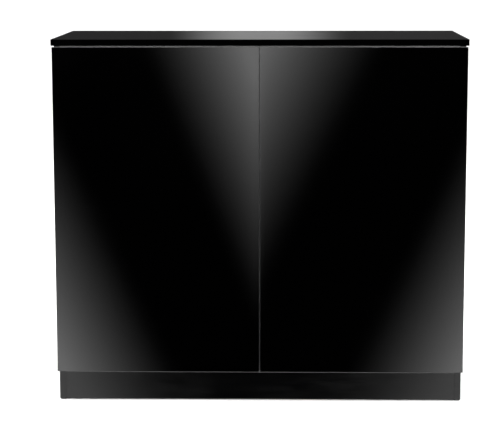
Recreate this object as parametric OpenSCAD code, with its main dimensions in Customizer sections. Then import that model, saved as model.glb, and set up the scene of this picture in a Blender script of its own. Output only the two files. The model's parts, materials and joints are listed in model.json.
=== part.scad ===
// Two-door aquarium stand cabinet, drawn in millimetres.
// X runs to the right, Y runs into the cabinet and Z is up.
// The origin is on the floor, under the middle of the cabinet.

/* [Cabinet] */
// Width across the worktop
cabinet_w = 1000; // [900:10:1100]
// Depth of the worktop
cabinet_d = 440; // [420:5:480]
// Height from the floor to the worktop's face
cabinet_h = 890; // [820:5:950]
// Thickness of the wood boards
board_t = 15; // [15:0.5:16]
// Overhang of the worktop past each side panel
top_overhang = 5; // [4:0.5:6]

/* [Doors] */
// Gap between the two doors
door_split = 3; // [2:0.5:4]
// Distance from each door's outer edge to the worktop's end
door_inset = 2; // [1.5:0.5:3]
// Gap between the worktop and the doors
door_top_gap = 4; // [3:0.5:6]
// Height of the doors' bottom edges above the floor
door_bottom = 76; // [74:1:78]
// Gap between the closed doors and the carcass
door_back_gap = 3; // [3:0.5:4]
// Distance of the door faces behind the worktop's front edge
door_set_back = 2; // [1:0.5:4]
// Distance from each hinge to the nearer end of the door
hinge_inset = 100; // [90:5:140]

/* [Base] */
// Height of the floor glides
glide_h = 3; // [3:1:6]
// Height of the top of the plinth above the floor
plinth_top = 70; // [66:1:76]
// Distance of the plinth behind the carcass front
plinth_inset = 2; // [1:1:10]

/* [Interior] */
// Row of pin holes that carries the shelf, counted from the lowest
shelf_row = 5; // [0:1:10]
// Width of each cable and hose outlet
outlet_w = 200; // [120:10:260]
// Height of each cable and hose outlet
outlet_h = 140; // [80:10:160]

/* [Hidden] */
$fn = 48;

// Carcass planes
half_w = cabinet_w / 2;
half_d = cabinet_d / 2;
half_t = board_t / 2;
side_out = half_w - top_overhang;
side_in = side_out - board_t;
side_mid = side_in + half_t;
top_z = cabinet_h - board_t;
base_z = plinth_top + board_t;
door_front = door_set_back - half_d;
door_back = door_front + board_t;
front_y = door_back + door_back_gap;
back_recess = 15;
back_y = half_d - back_recess;

// Rails, plinths and brace
front_rail_h = 60;
rear_rail_h = 80;
front_rail_mid = front_y + half_t;
rear_mid = back_y - half_t;
plinth_front = front_y + plinth_inset;
front_plinth_mid = plinth_front + half_t;

// Back panels and the grooves that hold them
back_t = 3;
groove_t = 3.3;
groove_deep = 7.5;
base_groove_deep = 6;
groove_gap = 0.5;
outlet_low = 640;
outlet_r = 20;

// Dowels, cam locks and cam bolts
dowel_r = 4;
dowel_face = 10;
dowel_end = 20;
long_dowel_half = 25;
drill_extra = 1;
dowel_y = 110;
cam_y = 150;
cam_r = 7.5;
cam_h = 12;
cam_back = 24;
bolt_r = 2.5;
bolt_in = 11;
bolt_hole_r = 3.5;
bolt_neck_r = 1.5;
bolt_neck_len = 7;
bolt_head_r = 3;
bolt_head_back = 2;
bolt_head_h = 4;
cam_pocket_back = 3;
cam_slot = [10, 1.6, 3];
front_rail_low = top_z - front_rail_h;
rear_rail_low = top_z - rear_rail_h;
rail_edge = 12;
plinth_dowel_x = 120;
plinth_low_z = 25;
plinth_high_z = 52;

// Shelf and its line-bored pin holes
pin_pitch = 32;
pin_rows = 11;
pin_r = 2.5;
pin_first_z = 278.5;
pin_front_y = -110;
pin_rear_y = 160;
pin_in_side = 10;
pin_in_partition = 6.5;
pin_out = 7;
shelf_z = pin_first_z + shelf_row * pin_pitch + pin_r;
shelf_front = -150;
shelf_rear = 200;
shelf_gap = 1;

// Concealed hinges, in a plan frame at the inner front corner of a side panel:
// x runs away from the panel, y runs into the cabinet.
pivot_a1 = [34, 10.7];
pivot_b1 = [-4.2, -5];
pivot_a2 = [11.5, -10];
pivot_b2 = [-3.2, -9.1];
pivot_r = 1.25;
end_pin_r = 1;
run_gap = 0.05;
open_pivot_r = 1.98;
eye_wall = 0.9;
shank_slim = 0.15;
arm_pin_half = 8.4;
finger_pin_half = 4.2;
cup_pin_near = 4.5;
cup_pin_half = 10;
link1_r = 2.6;
link2_r = 2.1;
link1_z = [4.8, 6.2];
link2_z = [2.0, 3.6];
finger_half = 1.6;
finger_r = 2.3;
finger_root = [12.5, 20];
ear_root = [11, 28];
ear_r = 3.4;
bridge_x = [4, 13];
bridge_y = [-2.2, -0.9];
bridge_half = 5.5;
cheek_z = [6.6, 8.0];
arm_low = 6;
arm_web = 14;
arm_top = 15.5;
arm_front = 18;
arm_rear = 72;
saddle_half = 5.8;
saddle_y = [24, 60];
plate_t = 2.5;
plate_y = 37;
plate_screw_z = 16;
plate_r = 9;
plate_screw_in = 12;
plate_head_r = 4;
arm_screw_y = 44;
arm_screw_r = 2;
arm_head_r = 3.5;
arm_head_h = 2;
arm_screw_tip = 5;
arm_hole_tip = 4;
cup_x = 3;
cup_r = 17.5;
cup_deep = 11.5;
cup_floor = 1;
cup_wall = 1.1;
cup_pocket_half = 7;
cup_rim = 1.2;
cup_rim_r = 18.6;
cup_ear_x = 12.5;
cup_ear_z = 22.5;
cup_ear_r = 5;
cup_screw_r = 1.75;
cup_screw_in = 11;
cup_head_r = 3.4;
cup_fit = 0.1;
cup_under = 0.5;
screw_head_h = 1.6;
tip_room = 1;
hinge_low = door_bottom + hinge_inset;
hinge_high = top_z - door_top_gap - hinge_inset;

// Touch latches on the partition
latch_x = 14.5;
latch_z = 790;
latch_size = 14;
latch_front = front_y + 4;
latch_len = 60;
latch_lug_h = 12;
latch_lug_t = 2.5;
latch_lug_y = [14, 42];
latch_screws_y = [22, 34];
latch_end = 4;
latch_screw_z = latch_z + latch_size / 2 + latch_lug_h / 2;
latch_screw_in = 6.5;
plunger_r = 4;
plunger_len = 50;
strike_t = 1;
strike_gap = 0.3;
strike_drop = 15;

// Thin screws
screw_r = 1.5;
small_head_h = 1.2;
back_screw_in = 13;
partition_screw_x = 4;

// Floor glides
glide_r = 7;
glide_pin_r = 1.5;
glide_pin_h = 12;
glide_spots = [
    for (x = [-side_mid, side_mid], y = [front_y + 10, half_d - 20]) [x, y],
    for (y = [-cam_y, cam_y]) [0, y]
];

// Colours
gloss_black = [0.03, 0.03, 0.035];
satin_black = [0.08, 0.08, 0.085];
back_black = [0.06, 0.055, 0.05];
nickel = [0.72, 0.71, 0.69];
zinc = [0.62, 0.63, 0.65];
beech = [0.78, 0.62, 0.42];
plastic_black = [0.05, 0.05, 0.05];
plastic_grey = [0.45, 0.45, 0.46];

// Dowel joints: the point on the joint face and the way into the end-drilled board.
dowel_joints = [
    // side panels to worktop, partition to worktop, partition to base
    for (x = [-side_mid, 0, side_mid], y = [-dowel_y, dowel_y]) [[x, y, top_z], [0, 0, -1]],
    for (y = [-dowel_y, dowel_y]) [[0, y, base_z], [0, 0, 1]],
    // base to side panels
    for (s = [-1, 1], y = [-dowel_y, dowel_y]) [[s * side_in, y, base_z - half_t], [-s, 0, 0]],
    // rails to side panels
    for (s = [-1, 1], z = [front_rail_low + rail_edge, top_z - rail_edge])
        [[s * side_in, front_rail_mid, z], [-s, 0, 0]],
    for (s = [-1, 1], z = [rear_rail_low + rail_edge, top_z - rail_edge])
        [[s * side_in, rear_mid, z], [-s, 0, 0]],
    // plinths to side panels and to base
    for (s = [-1, 1], y = [front_plinth_mid, rear_mid])
        [[s * side_in, y, plinth_high_z], [-s, 0, 0]],
    for (x = [-3, -1, 1, 3], y = [front_plinth_mid, rear_mid])
        [[x * plinth_dowel_x, y, plinth_top], [0, 0, -1]],
    // brace to plinths
    for (z = [plinth_low_z, plinth_high_z]) [[0, front_plinth_mid + half_t, z], [0, 1, 0]],
    for (z = [plinth_low_z, plinth_high_z]) [[0, rear_mid - half_t, z], [0, -1, 0]]
];

// Long dowels run through the partition into both rails: the middle of each.
long_dowels_at = [
    for (z = [front_rail_low + rail_edge, top_z - rail_edge]) [0, front_rail_mid, z],
    for (z = [rear_rail_low + rail_edge, top_z - rail_edge]) [0, rear_mid, z]
];

// Cam joints: joint point, way into the board that holds the cam, and the cam's open face.
cam_joints = [
    for (s = [-1, 1], y = [-cam_y, cam_y]) [[s * side_mid, y, top_z], [0, 0, -1], [-s, 0, 0]],
    for (y = [-cam_y, cam_y]) [[0, y, top_z], [0, 0, -1], [1, 0, 0]],
    for (y = [-cam_y, cam_y]) [[0, y, base_z], [0, 0, 1], [1, 0, 0]],
    for (s = [-1, 1], y = [-cam_y, cam_y])
        [[s * side_in, y, base_z - half_t], [-s, 0, 0], [0, 0, -1]],
    for (s = [-1, 1])
        [[s * side_in, front_rail_mid, top_z - front_rail_h / 2], [-s, 0, 0], [0, 1, 0]],
    for (s = [-1, 1])
        [[s * side_in, rear_mid, top_z - rear_rail_h / 2], [-s, 0, 0], [0, -1, 0]],
    for (s = [-1, 1])
        [[s * side_in, front_plinth_mid, plinth_low_z], [-s, 0, 0], [0, 1, 0]],
    for (s = [-1, 1])
        [[s * side_in, rear_mid, plinth_low_z], [-s, 0, 0], [0, -1, 0]]
];

// Back panel screws: into the rear rails, then into the partition's rear edge.
back_screws = [
    for (s = [-1, 1], x = [80, 240, 400]) [s * x, back_y + back_t, top_z - rear_rail_h / 2],
    for (s = [-1, 1], z = [180, 400, 600])
        [s * partition_screw_x, back_y + back_t, z]
];

// ---- Helpers ----

// Box between two opposite corners.
module block(low, high) {
    translate(low) cube(high - low);
}

// Turns +Z to point along dir.
module aim(dir) {
    rotate([0, acos(dir.z), atan2(dir.y, dir.x)]) children();
}

// Round bar along dir, from `back` behind pos to `ahead` in front of it.
module rod(pos, dir, r, back, ahead) {
    translate(pos) aim(dir) translate([0, 0, -back]) cylinder(r = r, h = back + ahead);
}

// Round-eyed bar from p to q, flat between the two heights, with a slightly slimmer shank.
module bar(p, q, r, low, high) {
    step = q - p;
    half = r - shank_slim;
    for (end = [p, q]) {
        translate([end.x, end.y, low]) cylinder(r = r, h = high - low);
    }
    translate([p.x, p.y, low]) rotate([0, 0, atan2(step.y, step.x)])
        block([0, -half, 0], [norm(step), half, high - low]);
}

// Upright pin, or the hole for one, at a point of the hinge plan.
module pin(p, r, low, high) {
    translate([p.x, p.y, low]) cylinder(r = r, h = high - low);
}

// The shape and its mirror image below the hinge's middle plane.
module both_faces() {
    children();
    mirror([0, 0, 1]) children();
}

// Moves a hinge piece from its plan frame to a side: -1 is left, 1 is right.
module hinge_at(side, z) {
    translate([side * side_in, front_y, z]) mirror([side > 0 ? 1 : 0, 0, 0]) children();
}

module hinge_pair(side) {
    for (z = [hinge_low, hinge_high]) hinge_at(side, z) children();
}

// The same board features on the left or, mirrored, on the right.
module on_side(side) {
    mirror([side > 0 ? 1 : 0, 0, 0]) children();
}

// ---- Drilling ----

// Every dowel, bolt and cam hole of the carcass.
module joint_holes() {
    for (j = dowel_joints) {
        rod(j[0], j[1], dowel_r, dowel_face + drill_extra, dowel_end + drill_extra);
    }
    for (p = long_dowels_at) {
        rod(p, [1, 0, 0], dowel_r, long_dowel_half + drill_extra, long_dowel_half + drill_extra);
    }
    for (j = cam_joints) {
        centre = j[0] + cam_back * j[1];
        rod(j[0], j[1], bolt_r, bolt_in, 0);
        rod(j[0], j[1], bolt_hole_r, 0, cam_back);
        rod(centre + half_t * j[2], -j[2], cam_r, drill_extra, cam_h);
    }
    for (p = back_screws) {
        rod(p, [0, -1, 0], screw_r, drill_extra, back_t + back_screw_in);
    }
}

// Shelf pin holes in one face, from x along dir.
module pin_holes(x, dir, depth) {
    for (row = [0 : pin_rows - 1], y = [pin_front_y, pin_rear_y]) {
        rod([x, y, pin_first_z + row * pin_pitch], [dir, 0, 0], pin_r, drill_extra, depth);
    }
}

module carcass_board(low, high) {
    difference() {
        block(low, high);
        joint_holes();
    }
}

// ---- Carcass boards ----

module worktop() {
    color(gloss_black)
        carcass_board([-half_w, -half_d, top_z], [half_w, half_d, cabinet_h]);
}

// Drawn as the left panel.
module side_panel(side) {
    color(gloss_black) difference() {
        on_side(side) difference() {
            block([-side_out, front_y, glide_h], [-side_in, half_d, top_z]);
            block(
                [-side_in - groove_deep, back_y, base_z - base_groove_deep],
                [-side_in + drill_extra, back_y + groove_t, top_z + drill_extra]
            );
            if (side < 0) pin_holes(-side_in, -1, pin_in_side);
        }
        joint_holes();
        hinge_pair(side) for (z = [-plate_screw_z, plate_screw_z]) {
            rod([0, plate_y, z], [-1, 0, 0], bolt_r, drill_extra, plate_screw_in);
        }
        for (p = glide_spots) {
            rod([p.x, p.y, glide_h], [0, 0, 1], glide_pin_r, drill_extra, glide_pin_h);
        }
    }
}

module left_side_panel() {
    side_panel(-1);
}

module right_side_panel() {
    side_panel(1);
}

module base_panel() {
    color(satin_black) difference() {
        carcass_board([-side_in, front_y, plinth_top], [side_in, half_d, base_z]);
        block(
            [-side_in - drill_extra, back_y, base_z - base_groove_deep],
            [side_in + drill_extra, back_y + groove_t, base_z + drill_extra]
        );
    }
}

module centre_partition() {
    color(satin_black) difference() {
        carcass_board([-half_t, front_y, base_z], [half_t, back_y, top_z]);
        pin_holes(-half_t, 1, pin_in_partition);
        for (s = [-1, 1]) latch_screw_places(s) {
            rod([0, 0, 0], [1, 0, 0], screw_r, drill_extra, latch_screw_in);
        }
    }
}

module front_rail(side) {
    color(satin_black) difference() {
        on_side(side)
            block([-side_in, front_y, front_rail_low], [-half_t, front_y + board_t, top_z]);
        joint_holes();
    }
}

module left_front_rail() {
    front_rail(-1);
}

module right_front_rail() {
    front_rail(1);
}

module rear_rail(side) {
    color(satin_black) difference() {
        on_side(side)
            block([-side_in, back_y - board_t, rear_rail_low], [-half_t, back_y, top_z]);
        joint_holes();
    }
}

module left_rear_rail() {
    rear_rail(-1);
}

module right_rear_rail() {
    rear_rail(1);
}

module front_plinth() {
    color(gloss_black) carcass_board(
        [-side_in, plinth_front, glide_h],
        [side_in, plinth_front + board_t, plinth_top]
    );
}

module rear_plinth() {
    color(satin_black) carcass_board(
        [-side_in, back_y - board_t, glide_h],
        [side_in, back_y, plinth_top]
    );
}

module plinth_brace() {
    color(satin_black) difference() {
        carcass_board(
            [-half_t, plinth_front + board_t, glide_h],
            [half_t, back_y - board_t, plinth_top]
        );
        for (p = glide_spots) {
            rod([p.x, p.y, glide_h], [0, 0, 1], glide_pin_r, drill_extra, glide_pin_h);
        }
    }
}

// Rounded rectangle through a back panel, centred on x.
module outlet_hole(x) {
    low_z = outlet_low;
    high_z = outlet_low + outlet_h;
    half = outlet_w / 2;
    near = back_y - drill_extra;
    far = back_y + back_t + drill_extra;
    block([x - half + outlet_r, near, low_z], [x + half - outlet_r, far, high_z]);
    block([x - half, near, low_z + outlet_r], [x + half, far, high_z - outlet_r]);
    for (cx = [x - half + outlet_r, x + half - outlet_r]) {
        for (cz = [low_z + outlet_r, high_z - outlet_r]) {
            rod([cx, near, cz], [0, 1, 0], outlet_r, 0, far - near);
        }
    }
}

module back_panel(side) {
    color(back_black) difference() {
        on_side(side) difference() {
            block(
                [-side_in - groove_deep + groove_gap, back_y, base_z - base_groove_deep + groove_gap],
                [-groove_gap, back_y + back_t, top_z]
            );
            outlet_hole(-side_in / 2);
        }
        joint_holes();
    }
}

module left_back_panel() {
    back_panel(-1);
}

module right_back_panel() {
    back_panel(1);
}

// ---- Shelf, pins and feet ----

module left_shelf() {
    color(satin_black) block(
        [-side_in + shelf_gap, shelf_front, shelf_z],
        [-half_t - shelf_gap, shelf_rear, shelf_z + board_t]
    );
}

module shelf_pins() {
    z = shelf_z - pin_r;
    color(nickel) for (y = [pin_front_y, pin_rear_y]) {
        rod([-side_in, y, z], [1, 0, 0], pin_r, pin_in_side, pin_out);
        rod([-half_t, y, z], [-1, 0, 0], pin_r, pin_in_partition, pin_out);
    }
}

module floor_glides() {
    color(plastic_black) for (p = glide_spots) {
        rod([p.x, p.y, 0], [0, 0, 1], glide_r, 0, glide_h);
        rod([p.x, p.y, glide_h], [0, 0, 1], glide_pin_r, 0, glide_pin_h);
    }
}

// ---- Joint fasteners ----

module dowels() {
    color(beech) for (j = dowel_joints) rod(j[0], j[1], dowel_r, dowel_face, dowel_end);
}

module long_dowels() {
    color(beech) for (p = long_dowels_at) {
        rod(p, [1, 0, 0], dowel_r, long_dowel_half, long_dowel_half);
    }
}

// Each cam is a drum with a pocket for the bolt's head and a driver slot.
module cam_locks() {
    color(zinc) for (j = cam_joints) {
        centre = j[0] + cam_back * j[1];
        face = centre + half_t * j[2];
        difference() {
            rod(face, -j[2], cam_r, 0, cam_h);
            rod(centre, -j[1], bolt_hole_r, cam_pocket_back, cam_r + drill_extra);
            translate(face) aim(j[2]) cube(cam_slot, center = true);
        }
    }
}

module cam_bolts() {
    color(nickel) for (j = cam_joints) {
        rod(j[0], j[1], bolt_r, bolt_in, cam_back - bolt_neck_len);
        rod(j[0], j[1], bolt_neck_r, 0, cam_back);
        rod(j[0] + cam_back * j[1], j[1], bolt_head_r, bolt_head_back, bolt_head_h - bolt_head_back);
    }
}

module back_panel_screws() {
    color(zinc) for (p = back_screws) {
        rod(p, [0, -1, 0], screw_r, 0, back_t + back_screw_in);
        rod(p, [0, 1, 0], 2 * screw_r, 0, screw_r);
    }
}

// ---- Hinges: pieces fixed to the carcass ----

module mounting_plate(side, z) {
    color(nickel) hinge_at(side, z) difference() {
        union() {
            block([0, plate_y - plate_r, -plate_screw_z], [plate_t, plate_y + plate_r, plate_screw_z]);
            for (end = [-plate_screw_z, plate_screw_z]) {
                rod([0, plate_y, end], [1, 0, 0], plate_r, 0, plate_t);
            }
            block([0, saddle_y[0], -saddle_half], [arm_web, saddle_y[1], saddle_half]);
        }
        for (end = [-plate_screw_z, plate_screw_z]) {
            rod([0, plate_y, end], [1, 0, 0], bolt_r, drill_extra, plate_t + drill_extra);
        }
        rod([arm_web, arm_screw_y, 0], [-1, 0, 0], arm_screw_r, drill_extra, arm_web - arm_hole_tip);
    }
}

module upper_left_mounting_plate() {
    mounting_plate(-1, hinge_high);
}

module lower_left_mounting_plate() {
    mounting_plate(-1, hinge_low);
}

module upper_right_mounting_plate() {
    mounting_plate(1, hinge_high);
}

module lower_right_mounting_plate() {
    mounting_plate(1, hinge_low);
}

// Channel over the plate's saddle, with two ears for the inner link's pivot
// and one finger that reaches into the cup for the outer link's pivot.
module hinge_arm(side, z) {
    color(nickel) hinge_at(side, z) difference() {
        union() {
            block([arm_web, arm_front, -cheek_z[1]], [arm_top, arm_rear, cheek_z[1]]);
            both_faces() {
                block([arm_low, arm_front, cheek_z[0]], [arm_top, arm_rear, cheek_z[1]]);
                bar(ear_root, pivot_a1, ear_r, cheek_z[0], cheek_z[1]);
            }
            bar(pivot_a2, finger_root, finger_r, -finger_half, finger_half);
        }
        pin(pivot_a1, pivot_r, -arm_rear, arm_rear);
        pin(pivot_a2, pivot_r, -arm_rear, arm_rear);
        rod([arm_top, arm_screw_y, 0], [-1, 0, 0], arm_screw_r, drill_extra, arm_top);
    }
}

module upper_left_hinge_arm() {
    hinge_arm(-1, hinge_high);
}

module lower_left_hinge_arm() {
    hinge_arm(-1, hinge_low);
}

module upper_right_hinge_arm() {
    hinge_arm(1, hinge_high);
}

module lower_right_hinge_arm() {
    hinge_arm(1, hinge_low);
}

module arm_pivot_pins(side) {
    color(zinc) hinge_pair(side) {
        pin(pivot_a1, pivot_r, -arm_pin_half, arm_pin_half);
        pin(pivot_a2, pivot_r, -finger_pin_half, finger_pin_half);
    }
}

module left_arm_pivot_pins() {
    arm_pivot_pins(-1);
}

module right_arm_pivot_pins() {
    arm_pivot_pins(1);
}

module mounting_plate_screws() {
    color(zinc) for (s = [-1, 1]) hinge_pair(s) {
        for (z = [-plate_screw_z, plate_screw_z]) {
            rod([plate_t, plate_y, z], [1, 0, 0], bolt_r, plate_t + plate_screw_in - tip_room, 0);
            rod([plate_t, plate_y, z], [1, 0, 0], plate_head_r, 0, screw_head_h);
        }
    }
}

module hinge_arm_screws() {
    color(zinc) for (s = [-1, 1]) hinge_pair(s) {
        rod([arm_top, arm_screw_y, 0], [1, 0, 0], arm_screw_r, arm_top - arm_screw_tip, 0);
        rod([arm_top, arm_screw_y, 0], [1, 0, 0], arm_head_r, 0, arm_head_h);
    }
}

// ---- Hinges: moving links ----

// Two side plates joined by a bridge close to the arm's pivot.
module inner_links(side) {
    step = pivot_b1 - pivot_a1;
    color(nickel) hinge_pair(side) difference() {
        union() {
            both_faces() bar(pivot_a1, pivot_b1, link1_r, link1_z[0], link1_z[1]);
            translate([pivot_a1.x, pivot_a1.y, 0]) rotate([0, 0, atan2(step.y, step.x)])
                block(
                    [bridge_x[0], bridge_y[0], -bridge_half],
                    [bridge_x[1], bridge_y[1], bridge_half]
                );
        }
        for (p = [pivot_a1, pivot_b1]) pin(p, pivot_r + run_gap, -arm_rear, arm_rear);
    }
}

module left_inner_links() {
    inner_links(-1);
}

module right_inner_links() {
    inner_links(1);
}

// Two loose plates on common pins, with a wide eye at the cup end.
module outer_links(side) {
    color(nickel) hinge_pair(side) both_faces() difference() {
        union() {
            bar(pivot_a2, pivot_b2, link2_r, link2_z[0], link2_z[1]);
            pin(pivot_b2, open_pivot_r + eye_wall, link2_z[0], link2_z[1]);
        }
        pin(pivot_a2, pivot_r + run_gap, 0, arm_rear);
        pin(pivot_b2, open_pivot_r, 0, arm_rear);
    }
}

module left_outer_links() {
    outer_links(-1);
}

module right_outer_links() {
    outer_links(1);
}

// ---- Hinges: pieces on the doors ----

module hinge_cup(side, z) {
    back = -door_back_gap;
    color(nickel) hinge_at(side, z) difference() {
        union() {
            rod([cup_x, back, 0], [0, -1, 0], cup_r, 0, cup_deep);
            rod([cup_x, back, 0], [0, 1, 0], cup_rim_r, 0, cup_rim);
            block(
                [cup_ear_x - cup_ear_r, back, -cup_ear_z],
                [cup_ear_x + cup_ear_r, back + cup_rim, cup_ear_z]
            );
            for (end = [-cup_ear_z, cup_ear_z]) {
                rod([cup_ear_x, back, end], [0, 1, 0], cup_ear_r, 0, cup_rim);
            }
        }
        intersection() {
            rod([cup_x, back, 0], [0, -1, 0], cup_r - cup_wall, 2 * cup_rim, cup_deep - cup_floor);
            block([-cup_r, -arm_rear, -cup_pocket_half], [arm_rear, arm_rear, cup_pocket_half]);
        }
        block([-arm_rear, back, -cup_pocket_half], [cup_x, arm_rear, cup_pocket_half]);
        pin(pivot_b1, pivot_r, -cup_pin_half, cup_pin_half);
        pin(pivot_b2, end_pin_r, -cup_pin_half, cup_pin_half);
        for (end = [-cup_ear_z, cup_ear_z]) {
            rod([cup_ear_x, back, end], [0, 1, 0], cup_screw_r, drill_extra, 2 * cup_rim);
        }
    }
}

module upper_left_hinge_cup() {
    hinge_cup(-1, hinge_high);
}

module lower_left_hinge_cup() {
    hinge_cup(-1, hinge_low);
}

module upper_right_hinge_cup() {
    hinge_cup(1, hinge_high);
}

module lower_right_hinge_cup() {
    hinge_cup(1, hinge_low);
}

module cup_screws(side) {
    face = cup_rim - door_back_gap;
    color(zinc) hinge_pair(side) for (z = [-cup_ear_z, cup_ear_z]) {
        rod([cup_ear_x, face, z], [0, -1, 0], cup_screw_r, 0, cup_rim + cup_screw_in);
        rod([cup_ear_x, face, z], [0, 1, 0], cup_head_r, 0, screw_head_h);
    }
}

module left_cup_screws() {
    cup_screws(-1);
}

module right_cup_screws() {
    cup_screws(1);
}

// Two short pins carry the inner link and one long pin carries the outer link.
module cup_pivot_pins(side) {
    color(zinc) hinge_pair(side) {
        both_faces() pin(pivot_b1, pivot_r, cup_pin_near, cup_pin_half);
        pin(pivot_b2, end_pin_r, -cup_pin_half, cup_pin_half);
    }
}

module left_cup_pivot_pins() {
    cup_pivot_pins(-1);
}

module right_cup_pivot_pins() {
    cup_pivot_pins(1);
}

// ---- Doors ----

module door_panel(side) {
    color(gloss_black) difference() {
        on_side(side) block(
            [door_inset - half_w, door_front, door_bottom],
            [-door_split / 2, door_back, top_z - door_top_gap]
        );
        hinge_pair(side) {
            rod(
                [cup_x, -door_back_gap, 0], [0, -1, 0],
                cup_r + cup_fit, drill_extra, cup_deep + cup_under
            );
            for (z = [-cup_ear_z, cup_ear_z]) {
                rod(
                    [cup_ear_x, -door_back_gap, z], [0, -1, 0],
                    cup_screw_r, drill_extra, cup_screw_in + tip_room
                );
            }
        }
        rod(
            [side * latch_x, door_back, latch_z - strike_drop], [0, -1, 0],
            screw_r, drill_extra, cup_screw_in
        );
    }
}

module left_door_panel() {
    door_panel(-1);
}

module right_door_panel() {
    door_panel(1);
}

// ---- Touch latches ----

// The two screw places of a latch, with +X pointing into the partition.
module latch_screw_places(side) {
    on_side(side) for (y = latch_screws_y) {
        translate([-half_t, latch_front + y, latch_screw_z]) children();
    }
}

module latch_housing(side) {
    half = latch_size / 2;
    color(plastic_grey) difference() {
        on_side(side) difference() {
            union() {
                block(
                    [-half_t - latch_size, latch_front, latch_z - half],
                    [-half_t, latch_front + latch_len, latch_z + half]
                );
                block(
                    [-half_t - latch_lug_t, latch_front + latch_lug_y[0], latch_z],
                    [-half_t, latch_front + latch_lug_y[1], latch_z + half + latch_lug_h]
                );
            }
            rod(
                [-latch_x, latch_front, latch_z], [0, 1, 0],
                plunger_r + run_gap, drill_extra, latch_len - latch_end
            );
        }
        latch_screw_places(side) rod([0, 0, 0], [1, 0, 0], screw_r, 2 * latch_lug_t, drill_extra);
    }
}

module left_latch_housing() {
    latch_housing(-1);
}

module right_latch_housing() {
    latch_housing(1);
}

module latch_screws() {
    color(zinc) for (s = [-1, 1]) latch_screw_places(s) {
        rod([-latch_lug_t, 0, 0], [1, 0, 0], screw_r, 0, latch_lug_t + latch_screw_in);
        rod([-latch_lug_t, 0, 0], [-1, 0, 0], 2 * screw_r, 0, small_head_h);
    }
}

module latch_plunger(side) {
    tip = door_back + strike_t + strike_gap;
    color(plastic_black) rod([side * latch_x, tip, latch_z], [0, 1, 0], plunger_r, 0, plunger_len);
}

module left_latch_plunger() {
    latch_plunger(-1);
}

module right_latch_plunger() {
    latch_plunger(1);
}

module strike_plate(side) {
    half = latch_size / 2;
    color(zinc) difference() {
        on_side(side) block(
            [-latch_x - half, door_back, latch_z - strike_drop - half],
            [-latch_x + half, door_back + strike_t, latch_z + half]
        );
        rod(
            [side * latch_x, door_back, latch_z - strike_drop], [0, 1, 0],
            screw_r, drill_extra, 2 * strike_t
        );
    }
}

module left_strike_plate() {
    strike_plate(-1);
}

module right_strike_plate() {
    strike_plate(1);
}

module strike_screw(side) {
    seat = [side * latch_x, door_back + strike_t, latch_z - strike_drop];
    color(zinc) {
        rod(seat, [0, -1, 0], screw_r, 0, strike_t + cup_screw_in - tip_room);
        rod(seat, [0, 1, 0], 2 * screw_r, 0, small_head_h);
    }
}

module left_strike_screw() {
    strike_screw(-1);
}

module right_strike_screw() {
    strike_screw(1);
}

worktop();
left_side_panel();
right_side_panel();
base_panel();
centre_partition();
left_front_rail();
right_front_rail();
left_rear_rail();
right_rear_rail();
front_plinth();
rear_plinth();
plinth_brace();
left_back_panel();
right_back_panel();
left_shelf();
shelf_pins();
floor_glides();
dowels();
long_dowels();
cam_locks();
cam_bolts();
back_panel_screws();
upper_left_mounting_plate();
lower_left_mounting_plate();
upper_right_mounting_plate();
lower_right_mounting_plate();
upper_left_hinge_arm();
lower_left_hinge_arm();
upper_right_hinge_arm();
lower_right_hinge_arm();
left_arm_pivot_pins();
right_arm_pivot_pins();
mounting_plate_screws();
hinge_arm_screws();
left_latch_housing();
right_latch_housing();
latch_screws();
left_inner_links();
right_inner_links();
left_outer_links();
right_outer_links();
left_latch_plunger();
right_latch_plunger();
left_door_panel();
upper_left_hinge_cup();
lower_left_hinge_cup();
left_cup_screws();
left_cup_pivot_pins();
left_strike_plate();
left_strike_screw();
right_door_panel();
upper_right_hinge_cup();
lower_right_hinge_cup();
right_cup_screws();
right_cup_pivot_pins();
right_strike_plate();
right_strike_screw();
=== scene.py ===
"""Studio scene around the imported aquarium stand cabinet. Metres, in the frame of the CAD part.

X runs to the right, Y into the cabinet and Z up. The doors face -Y.
"""

import json
import math

import bpy
from mathutils import Matrix, Vector


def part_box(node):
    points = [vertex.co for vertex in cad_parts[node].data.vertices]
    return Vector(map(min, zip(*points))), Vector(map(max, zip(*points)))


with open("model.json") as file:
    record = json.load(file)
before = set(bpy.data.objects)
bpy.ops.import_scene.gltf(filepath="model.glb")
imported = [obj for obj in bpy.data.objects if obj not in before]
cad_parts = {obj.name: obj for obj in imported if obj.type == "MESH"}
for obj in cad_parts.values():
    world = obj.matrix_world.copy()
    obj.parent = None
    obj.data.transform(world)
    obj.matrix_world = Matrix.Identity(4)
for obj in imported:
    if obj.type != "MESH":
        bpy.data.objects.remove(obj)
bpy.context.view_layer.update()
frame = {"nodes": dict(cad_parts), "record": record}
scene = bpy.context.scene
scene.view_settings.view_transform = "Standard"

MM = 0.001


# ---- Node helpers ----


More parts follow.
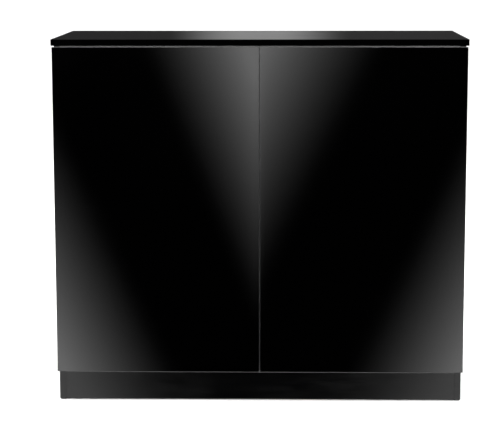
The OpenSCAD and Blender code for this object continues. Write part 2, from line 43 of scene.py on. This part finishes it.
class Graph:
    """A material or world node tree with short calls for the nodes used here."""

    def __init__(self, tree):
        self.tree = tree
        self.tree.nodes.clear()

    def add(self, kind, settings=None, **inputs):
        """A node with its settings, and its inputs set from numbers, colours or sockets."""
        node = self.tree.nodes.new("ShaderNode" + kind)
        for key, value in (settings or {}).items():
            setattr(node, key, value)
        for key, value in inputs.items():
            socket = node.inputs[int(key[1:]) if key[1:].isdigit() else key.replace("_", " ")]
            if isinstance(value, bpy.types.NodeSocket):
                self.tree.links.new(value, socket)
            else:
                socket.default_value = value
        return node

    def math(self, operation, a, b=0.0, c=0.0):
        return self.add("Math", {"operation": operation}, i0=a, i1=b, i2=c).outputs[0]

    def noise(self, vector, scale, detail, rough=0.5, distortion=0.0):
        node = self.add(
            "TexNoise", Vector=vector, Scale=scale, Detail=detail,
            Roughness=rough, Distortion=distortion,
        )
        return node.outputs["Fac"]

    def remap(self, value, low, high, to_low, to_high, smooth=False):
        settings = {"interpolation_type": "SMOOTHSTEP" if smooth else "LINEAR"}
        node = self.add("MapRange", settings, i0=value, i1=low, i2=high, i3=to_low, i4=to_high)
        return node.outputs[0]

    def fade(self, value, inside, outside, share):
        """1 up to inside of the middle, falling smoothly to share at outside."""
        away = self.math("ABSOLUTE", value)
        return self.remap(away, inside, outside, 1.0, share, smooth=True)

    def mix(self, factor, a, b):
        node = self.add("Mix", {"data_type": "RGBA"}, i0=factor)
        for index, value in ((6, a), (7, b)):
            if isinstance(value, bpy.types.NodeSocket):
                self.tree.links.new(value, node.inputs[index])
            else:
                node.inputs[index].default_value = value
        return node.outputs[2]

    def object_coords(self, stretch=(1.0, 1.0, 1.0)):
        coords = self.add("TexCoord").outputs["Object"]
        return self.add("Mapping", Vector=coords, Scale=stretch).outputs[0]

    def bump(self, height, distance):
        return self.add("Bump", Height=height, Distance=distance, Strength=1.0).outputs[0]

    def edge_mask(self, radius):
        """1 near an edge and 0 on flat faces, from how far a rounded normal turns."""
        rounded = self.add("Bevel", {"samples": 4}, Radius=radius).outputs[0]
        flat = self.add("NewGeometry").outputs["Normal"]
        dot = self.add("VectorMath", {"operation": "DOT_PRODUCT"}, i0=rounded, i1=flat)
        return self.remap(dot.outputs["Value"], 1.0, 0.85, 0.0, 1.0)


def rgba(red, green, blue):
    return (red, green, blue, 1.0)


def grey(level):
    return rgba(level, level, level)


def new_material(name):
    material = bpy.data.materials.new(name)
    material.use_nodes = True
    return material, Graph(material.node_tree)


def close_material(graph, **inputs):
    """Ends a material in one Principled shader with these inputs."""
    shader = graph.add("BsdfPrincipled", **inputs)
    graph.add("OutputMaterial", Surface=shader.outputs[0])


# ---- Materials ----

DUST_GREY = 0.004
FRONT_NORMAL_Y = -0.3
MATT_ROUGHNESS = 0.6


def lacquer(name, rough_low, rough_high, body, wear_and_highlight_tint=0.006, shine=0.5, matt_edge=False):
    """High-gloss black lacquer: wiping haze, faint orange peel, and arrises painted lighter,
    partly as wear and partly as a painted highlight.

    With matt_edge, the faces that look to the front are matt and mirror nothing.
    """
    material, g = new_material(name)
    coords = g.object_coords()
    haze = g.noise(coords, scale=3.0, detail=4.0, rough=0.6, distortion=0.4)
    smears = g.noise(g.object_coords((1.0, 1.0, 6.0)), scale=9.0, detail=5.0, rough=0.65)
    dust = g.noise(coords, scale=700.0, detail=1.0)
    wear = g.edge_mask(0.9 * MM)
    marks = g.math("MULTIPLY", haze, smears)
    rough = g.remap(marks, 0.12, 0.42, rough_low, rough_high, smooth=True)
    rough = g.math("ADD", rough, g.math("MULTIPLY", wear, 0.08))
    tint = g.mix(haze, grey(body), rgba(1.6 * body, 1.6 * body, 1.8 * body))
    tint = g.mix(g.remap(dust, 0.72, 0.80, 0.0, 0.5), tint, grey(DUST_GREY))
    # Painted highlight: the arrises are tinted lighter, partly as wear and partly to stand in
    # for the light their rounded edges catch.
    tint = g.mix(g.math("MULTIPLY", wear, 0.5), tint, rgba(wear_and_highlight_tint, wear_and_highlight_tint, 1.1 * wear_and_highlight_tint))
    peel = g.bump(g.noise(coords, scale=260.0, detail=2.0), distance=0.012 * MM)
    if matt_edge:
        side = g.add("SeparateXYZ", i0=g.add("NewGeometry").outputs["True Normal"]).outputs[1]
        front = g.math("LESS_THAN", side, FRONT_NORMAL_Y)
        rough = g.math("MAXIMUM", rough, g.math("MULTIPLY", front, MATT_ROUGHNESS))
        shine = g.remap(front, 0.0, 1.0, shine, 0.0)
    close_material(
        g, Base_Color=tint, Roughness=rough, Normal=peel, IOR=1.5, Specular_IOR_Level=shine
    )
    return material


def melamine(name, body, grain):
    """Satin board facing with a fine pearl emboss."""
    material, g = new_material(name)
    coords = g.object_coords()
    pearl = g.noise(coords, scale=900.0, detail=2.0, rough=0.6)
    cloud = g.noise(coords, scale=6.0, detail=3.0)
    wear = g.edge_mask(0.8 * MM)
    tint = g.mix(cloud, grey(body), rgba(1.35 * body, 1.35 * body, 1.4 * body))
    tint = g.mix(g.math("MULTIPLY", wear, 0.4), tint, grey(3 * body))
    rough = g.remap(cloud, 0.3, 0.7, 0.34, 0.46)
    normal = g.bump(pearl, grain)
    close_material(g, Base_Color=tint, Roughness=rough, Normal=normal, IOR=1.5)
    return material


def hardboard(name):
    """Painted hardboard with a pressed fibre surface."""
    material, g = new_material(name)
    coords = g.object_coords((1.0, 1.0, 0.35))
    fibre = g.noise(coords, scale=420.0, detail=4.0, rough=0.7, distortion=1.0)
    cloud = g.noise(g.object_coords(), scale=5.0, detail=3.0)
    tint = g.mix(fibre, grey(0.008), rgba(0.026, 0.025, 0.023))
    tint = g.mix(g.remap(cloud, 0.35, 0.65, 0.0, 0.35), tint, rgba(0.030, 0.028, 0.025))
    rough = g.remap(cloud, 0.3, 0.7, 0.55, 0.7)
    normal = g.bump(fibre, 0.05 * MM)
    close_material(g, Base_Color=tint, Roughness=rough, Normal=normal)
    return material


def metal(name, colour, rough_low, rough_high, lines):
    """Plated steel: drawn lines along one way, soft stains and rubbed edges."""
    material, g = new_material(name)
    drawn = g.noise(g.object_coords(lines), scale=500.0, detail=3.0, rough=0.6)
    stain = g.noise(g.object_coords(), scale=60.0, detail=4.0, rough=0.6)
    wear = g.edge_mask(0.3 * MM)
    dark = rgba(*(0.72 * c for c in colour))
    tint = g.mix(g.remap(stain, 0.35, 0.7, 0.0, 1.0), rgba(*colour), dark)
    tint = g.mix(g.math("MULTIPLY", wear, 0.5), tint, rgba(0.85, 0.84, 0.82))
    rough = g.remap(drawn, 0.3, 0.7, rough_low, rough_high)
    normal = g.bump(drawn, 0.02 * MM)
    close_material(g, Base_Color=tint, Roughness=rough, Metallic=1.0, Normal=normal)
    return material


def plastic(name, body, rough):
    """Moulded plastic with a fine spark-eroded texture."""
    material, g = new_material(name)
    coords = g.object_coords()
    texture = g.noise(coords, scale=1500.0, detail=2.0)
    cloud = g.noise(coords, scale=40.0, detail=3.0)
    wear = g.edge_mask(0.4 * MM)
    tint = g.mix(cloud, grey(body), grey(1.3 * body))
    tint = g.mix(g.math("MULTIPLY", wear, 0.4), tint, grey(2 * body))
    shine = g.remap(texture, 0.3, 0.7, rough - 0.06, rough + 0.06)
    close_material(
        g, Base_Color=tint, Roughness=shine, Normal=g.bump(texture, 0.02 * MM)
    )
    return material


def beech(name):
    """Turned beech with short dark flecks along the grain."""
    material, g = new_material(name)
    along = g.object_coords((0.12, 1.0, 0.12))
    grain = g.noise(along, scale=600.0, detail=4.0, rough=0.7, distortion=0.6)
    tint = g.mix(grain, rgba(0.62, 0.43, 0.25), rgba(0.36, 0.22, 0.11))
    rough = g.remap(grain, 0.3, 0.7, 0.5, 0.7)
    close_material(g, Base_Color=tint, Roughness=rough, Normal=g.bump(grain, 0.05 * MM))
    return material


# The doors' arrises get a much lighter tint than the other boards: a painted highlight along
# their rounded edges, partly wear.
door_gloss = lacquer("door_gloss", 0.02, 0.05, 0.0001, wear_and_highlight_tint=0.03)
board_gloss = lacquer("board_gloss", 0.05, 0.12, 0.0003)
top_gloss = lacquer("top_gloss", 0.05, 0.12, 0.0002, matt_edge=True)
side_gloss = lacquer("side_gloss", 0.05, 0.12, 0.0003, shine=0.21)
plinth_gloss = lacquer("plinth_gloss", 0.08, 0.14, 0.0006, shine=0.23)
satin_board = melamine("satin_board", 0.012, 0.03 * MM)
back_board = hardboard("back_board")
nickel = metal("nickel_plate", (0.66, 0.63, 0.58), 0.20, 0.32, (1.0, 0.15, 1.0))
zinc = metal("zinc_plate", (0.62, 0.63, 0.66), 0.28, 0.42, (1.0, 1.0, 0.4))
black_plastic = plastic("black_plastic", 0.012, 0.5)
grey_plastic = plastic("grey_plastic", 0.17, 0.45)
dowel_wood = beech("dowel_wood")

SLOT_MATERIALS = {
    "gloss_black_board": board_gloss,
    "satin_black_board": satin_board,
    "black_hardboard": back_board,
    "beech_dowel": dowel_wood,
    "black_plastic": black_plastic,
    "grey_plastic": grey_plastic,
    "zinc_plated_steel": zinc,
    "nickel_plated_steel": nickel,
}
NODE_MATERIALS = {
    "worktop": top_gloss,
    "left_door_panel": door_gloss,
    "right_door_panel": door_gloss,
    "front_plinth": plinth_gloss,
    "left_side_panel": side_gloss,
    "right_side_panel": side_gloss,
}
BOARD_SLOTS = ("gloss_black_board", "satin_black_board", "black_hardboard")
ARRIS = {"left_door_panel": 1.3 * MM, "right_door_panel": 1.3 * MM, "worktop": 0.3 * MM}
BOARD_ARRIS = 0.5 * MM
ARRIS_SEGMENTS = 3
ARRIS_ANGLE = math.radians(40)


def round_edges(piece, width):
    """Rounds the sharp edges of a CAD node by a modifier, so that they catch the light."""
    bevel = piece.modifiers.new("arris", "BEVEL")
    bevel.width = width
    bevel.segments = ARRIS_SEGMENTS
    bevel.limit_method = "ANGLE"
    bevel.angle_limit = ARRIS_ANGLE
    bevel.use_clamp_overlap = True
    bevel.harden_normals = True


for part in frame["record"]["subparts"]:
    name, slot_name = part["node"], part["material_slot"]
    piece = frame["nodes"][name]
    material = NODE_MATERIALS.get(name, SLOT_MATERIALS[slot_name])
    piece.data.materials.clear()
    piece.data.materials.append(material)
    if slot_name in BOARD_SLOTS:
        round_edges(piece, ARRIS.get(name, BOARD_ARRIS))


# ---- Camera ----

CAMERA_PLACE = Vector((0.068, -4.345, 1.108))
CAMERA_YAW = math.radians(-1.265)
CAMERA_PITCH = math.radians(8.904)
CAMERA_ROLL = math.radians(-0.080)
LENS_MM = 124.1
SENSOR_MM = 36.0

forward = Vector((
    math.sin(CAMERA_YAW) * math.cos(CAMERA_PITCH),
    math.cos(CAMERA_YAW) * math.cos(CAMERA_PITCH),
    -math.sin(CAMERA_PITCH),
))
right = forward.cross(Vector((0, 0, 1))).normalized()
up = right.cross(forward)
tilt_right = right * math.cos(CAMERA_ROLL) + up * math.sin(CAMERA_ROLL)
tilt_up = up * math.cos(CAMERA_ROLL) - right * math.sin(CAMERA_ROLL)
camera_data = bpy.data.cameras.new("camera")
camera_data.lens = LENS_MM
camera_data.sensor_width = SENSOR_MM
camera = bpy.data.objects.new("camera", camera_data)
turn = Matrix((tilt_right, tilt_up, -forward)).transposed().to_4x4()
camera.matrix_world = Matrix.Translation(CAMERA_PLACE) @ turn
scene.collection.objects.link(camera)
scene.camera = camera


# ---- Floor, light and reflection cards ----


def plane(name, centre, width, height, x_way, y_way):
    """A flat rectangle whose own X and Y run along x_way and y_way."""
    x, y = width / 2, height / 2
    mesh = bpy.data.meshes.new(name)
    mesh.from_pydata([(-x, -y, 0), (x, -y, 0), (x, y, 0), (-x, y, 0)], [], [(0, 1, 2, 3)])
    piece = bpy.data.objects.new(name, mesh)
    x_way, y_way = Vector(x_way), Vector(y_way)
    turn = Matrix((x_way, y_way, x_way.cross(y_way))).transposed().to_4x4()
    piece.matrix_world = Matrix.Translation(centre) @ turn
    scene.collection.objects.link(piece)
    return piece


def card(name, centre, width, height, x_way, glow, y_way=(0, 0, 1)):
    """A panel that only reflections see. glow(graph, x, y) gives its strength."""
    piece = plane(name, centre, width, height, x_way, y_way)
    for ray in ("camera", "diffuse", "shadow", "transmission", "volume_scatter"):
        setattr(piece, "visible_" + ray, False)
    material, g = new_material(name)
    coords = g.add("TexCoord").outputs["Object"]
    parts = g.add("SeparateXYZ", i0=coords)
    light = g.add("Emission", Strength=glow(g, parts.outputs[0], parts.outputs[1]))
    g.add("OutputMaterial", Surface=light.outputs[0])
    piece.data.materials.append(material)


FLOOR_SIZE = 40
SKY_STRENGTH = 1.6

floor = plane("floor", (0, 0, 0), FLOOR_SIZE, FLOOR_SIZE, (1, 0, 0), (0, 1, 0))
floor.visible_glossy = False
material, g = new_material("floor_paper")
tone = g.noise(g.object_coords(), scale=3.0, detail=3.0)
floor_colour = g.mix(tone, grey(0.86), grey(0.90))
close_material(g, Base_Color=floor_colour, Roughness=0.8)
floor.data.materials.append(material)

world = bpy.data.worlds.new("studio")
scene.world = world
world.use_nodes = True
sky = Graph(world.node_tree)
background = sky.add("Background", Color=grey(1), Strength=SKY_STRENGTH)
sky.add("OutputWorld", Surface=background.outputs[0])
world.cycles_visibility.glossy = False

# The door faces are a mirror: a card parallel to them shows on them scaled about the
# camera's own place. These say how far a door point spreads to the front card.
door_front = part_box("left_door_panel")[0][1]
FRONT_CARD_Y = -6.0
spread = 1 + (door_front - FRONT_CARD_Y) / (door_front - CAMERA_PLACE.y)


def on_front_card(x, z):
    """Where the mirror image of a door point falls on the front card."""
    return (
        CAMERA_PLACE.x + spread * (x - CAMERA_PLACE.x),
        CAMERA_PLACE.z + spread * (z - CAMERA_PLACE.z),
    )


GLOSS_F0 = 0.04
GAMMA = 2.2

# Display levels of the light on the doors, and how fast they fall per metre of door. The
# left half of the roof of light is the brighter one in the photograph.
ROOF_HEIGHT = 0.60
LEFT_ROOF, LEFT_ROOF_FALL = 0.280, 1.49
RIGHT_ROOF, RIGHT_ROOF_FALL = 0.224, 1.22
ROOF_FALL_Z = 0.605
CORNER_PLACE = (0.49, 0.24)
CORNER_LEVEL, CORNER_FALL_X, CORNER_FALL_Z = 0.298, 1.345, 0.61
CORNER_SHIFT = 0.009
BRIGHTEST = 0.395
# Light above and below the doors' own reflection, seen by their rounded edges alone.
OVER_DOOR_LEVEL, UNDER_DOOR_LEVEL = 0.80, 0.50
OVER_START, OVER_FULL = 0.08, 0.30
UNDER_START, UNDER_FULL = -0.1, -0.4
UNDER_FADE_START, UNDER_FADE_END, UNDER_FAR_SHARE = -0.5, -1.5, 0.35
ASIDE_START, ASIDE_END, ASIDE_SHARE = 0.6, 2.6, 0.4
FRONT_CARD_SIZE = (18, 9)
door_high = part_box("left_door_panel")[1][2]
card_x, card_z = on_front_card(0.0, 0.0)


def front_glow(g, x, y):
    """A roof of light that fades down and out from the top middle, and one in each lower
    corner. Each is a straight ramp to the eye, so it is raised to the display gamma."""
    door_x = g.math("DIVIDE", x, spread)
    door_z = g.math("DIVIDE", y, spread)
    in_left = g.math("LESS_THAN", door_x, 0.0)
    peak = g.math("MULTIPLY_ADD", in_left, LEFT_ROOF - RIGHT_ROOF, RIGHT_ROOF)
    fall = g.math("MULTIPLY_ADD", in_left, LEFT_ROOF_FALL - RIGHT_ROOF_FALL, RIGHT_ROOF_FALL)
    roof = g.math("SUBTRACT", peak, g.math("MULTIPLY", g.math("ABSOLUTE", door_x), fall))
    height = g.math("SUBTRACT", door_z, ROOF_HEIGHT)
    roof = g.math("MULTIPLY_ADD", height, ROOF_FALL_Z, roof)
    outwards = g.math("ABSOLUTE", g.math("SUBTRACT", door_x, CORNER_SHIFT))
    outwards = g.math("SUBTRACT", outwards, CORNER_PLACE[0])
    corner = g.math("MULTIPLY_ADD", outwards, CORNER_FALL_X, CORNER_LEVEL)
    drop = g.math("SUBTRACT", CORNER_PLACE[1], door_z)
    corner = g.math("MULTIPLY_ADD", drop, CORNER_FALL_Z, corner)
    level = g.math("MINIMUM", g.math("MAXIMUM", roof, corner), BRIGHTEST)
    over_height = g.math("SUBTRACT", door_z, door_high)
    over = g.remap(over_height, OVER_START, OVER_FULL, 0.0, OVER_DOOR_LEVEL)
    under = g.remap(door_z, UNDER_START, UNDER_FULL, 0.0, UNDER_DOOR_LEVEL)
    far_under = g.remap(
        door_z, UNDER_FADE_START, UNDER_FADE_END, 1.0, UNDER_FAR_SHARE, smooth=True
    )
    level = g.math("MAXIMUM", level, g.math("MULTIPLY", under, far_under))
    level = g.math("MAXIMUM", level, over)
    aside = g.fade(door_x, ASIDE_START, ASIDE_END, ASIDE_SHARE)
    level = g.math("MULTIPLY", level, aside)
    return g.math("DIVIDE", g.math("POWER", level, GAMMA), GLOSS_F0)


card("front_card", (card_x, FRONT_CARD_Y, card_z), *FRONT_CARD_SIZE, (1, 0, 0), front_glow)


# Emission strengths of the strip of light on the worktop and of the dim glow beside it.
DIM_LEFT, DIM_RIGHT, DIM_REACH = 0.031, 0.040, 0.6
STRIP_STRENGTH, STRIP_INSIDE, STRIP_OUTSIDE = 0.29, 0.07, 0.45


def back_glow(g, x, y):
    """A bright strip on the worktop that fades to an even dim glow at both sides."""
    dim = g.remap(x, -DIM_REACH, DIM_REACH, DIM_LEFT, DIM_RIGHT)
    share = g.fade(x, STRIP_INSIDE, STRIP_OUTSIDE, 0.0)
    return g.math("MULTIPLY_ADD", share, STRIP_STRENGTH, dim)


card("back_card", (-0.07, 4.0, 1.1), 8, 1.2, (1, 0, 0), back_glow)


def side_glow(g, x, y):
    """A tall soft window: bright in the middle, fading to the sides and to the foot."""
    rise = g.remap(y, -2.0, 1.5, 0.15, 1.6, smooth=True)
    share = g.fade(x, inside=0.8, outside=3.4, share=0.25)
    return g.math("MULTIPLY", rise, share)


def ceiling_glow(g, x, y):
    """A ceiling softbox, brightest in front of the cabinet."""
    ahead = g.remap(y, 2.0, -4.0, 0.8, 9.0, smooth=True)
    return g.math("MULTIPLY", ahead, g.remap(g.math("ABSOLUTE", x), 3.0, 5.0, 1.0, 0.3))


def floor_glow(g, x, y):
    """White floor outside the cabinet, lit most a little way from it."""
    near = g.remap(x, -2.8, -1.9, 0.1, 1.0, smooth=True)
    far = g.remap(x, -1.6, 2.8, 1.6, 0.2, smooth=True)
    along = g.fade(y, inside=1.5, outside=4.5, share=0.2)
    return g.math("MULTIPLY", g.math("MULTIPLY", near, far), along)


def deep_glow(g, x, y):
    """Floor mirrored in the doors from a high camera, and in their lower edges."""
    share = g.fade(y, inside=1.5, outside=4.5, share=0.3)
    return g.math("MULTIPLY", g.remap(x, -2.8, 2.8, 0.6, 2.4, smooth=True), share)


SIDE_CARD_X = 6.5
for side, name in ((-1, "left_card"), (1, "right_card")):
    card(name, (side * SIDE_CARD_X, 0.6, 2.2), 9, 5, (0, side, 0), side_glow)
card("rear_card", (0.0, 5.5, 4.6), 12, 5, (1, 0, 0), side_glow)
card("ceiling_card", (0, -2.0, 5.0), 12, 14, (1, 0, 0), ceiling_glow, (0, 1, 0))
# The side floor cards turn outwards a little, clear of what the closed doors mirror.
TURN = math.radians(12)
out_x, out_y = math.cos(TURN), math.sin(TURN)
FLOOR_CARD_X, FLOOR_CARD_Y, CARD_Z = 3.22, 1.0, -0.02
FLOOR_CARD_SIZE = (5.6, 9)
for side, name in ((1, "right_floor_card"), (-1, "left_floor_card")):
    outward, forward_way = (side * out_x, out_y, 0), (-out_y, side * out_x, 0)
    place = (side * FLOOR_CARD_X, FLOOR_CARD_Y, CARD_Z)
    card(name, place, *FLOOR_CARD_SIZE, outward, floor_glow, forward_way)
card("rear_floor_card", (0, 3.1, CARD_Z), 5.6, 1.9, (0, 1, 0), floor_glow, (-1, 0, 0))
card("deep_floor_card", (0, -3.3, -2.4), *FLOOR_CARD_SIZE, (0, -1, 0), deep_glow, (1, 0, 0))


def area_light(name, place, size, power):
    lamp = bpy.data.lights.new(name, "AREA")
    lamp.shape = "DISK"
    lamp.size = size
    lamp.energy = power
    item = bpy.data.objects.new(name, lamp)
    item.location = place
    item.rotation_euler = (-Vector(place)).to_track_quat("-Z", "Y").to_euler()
    item.visible_glossy = False
    scene.collection.objects.link(item)


area_light("overhead", (0, -0.5, 5.0), 4.0, 350)
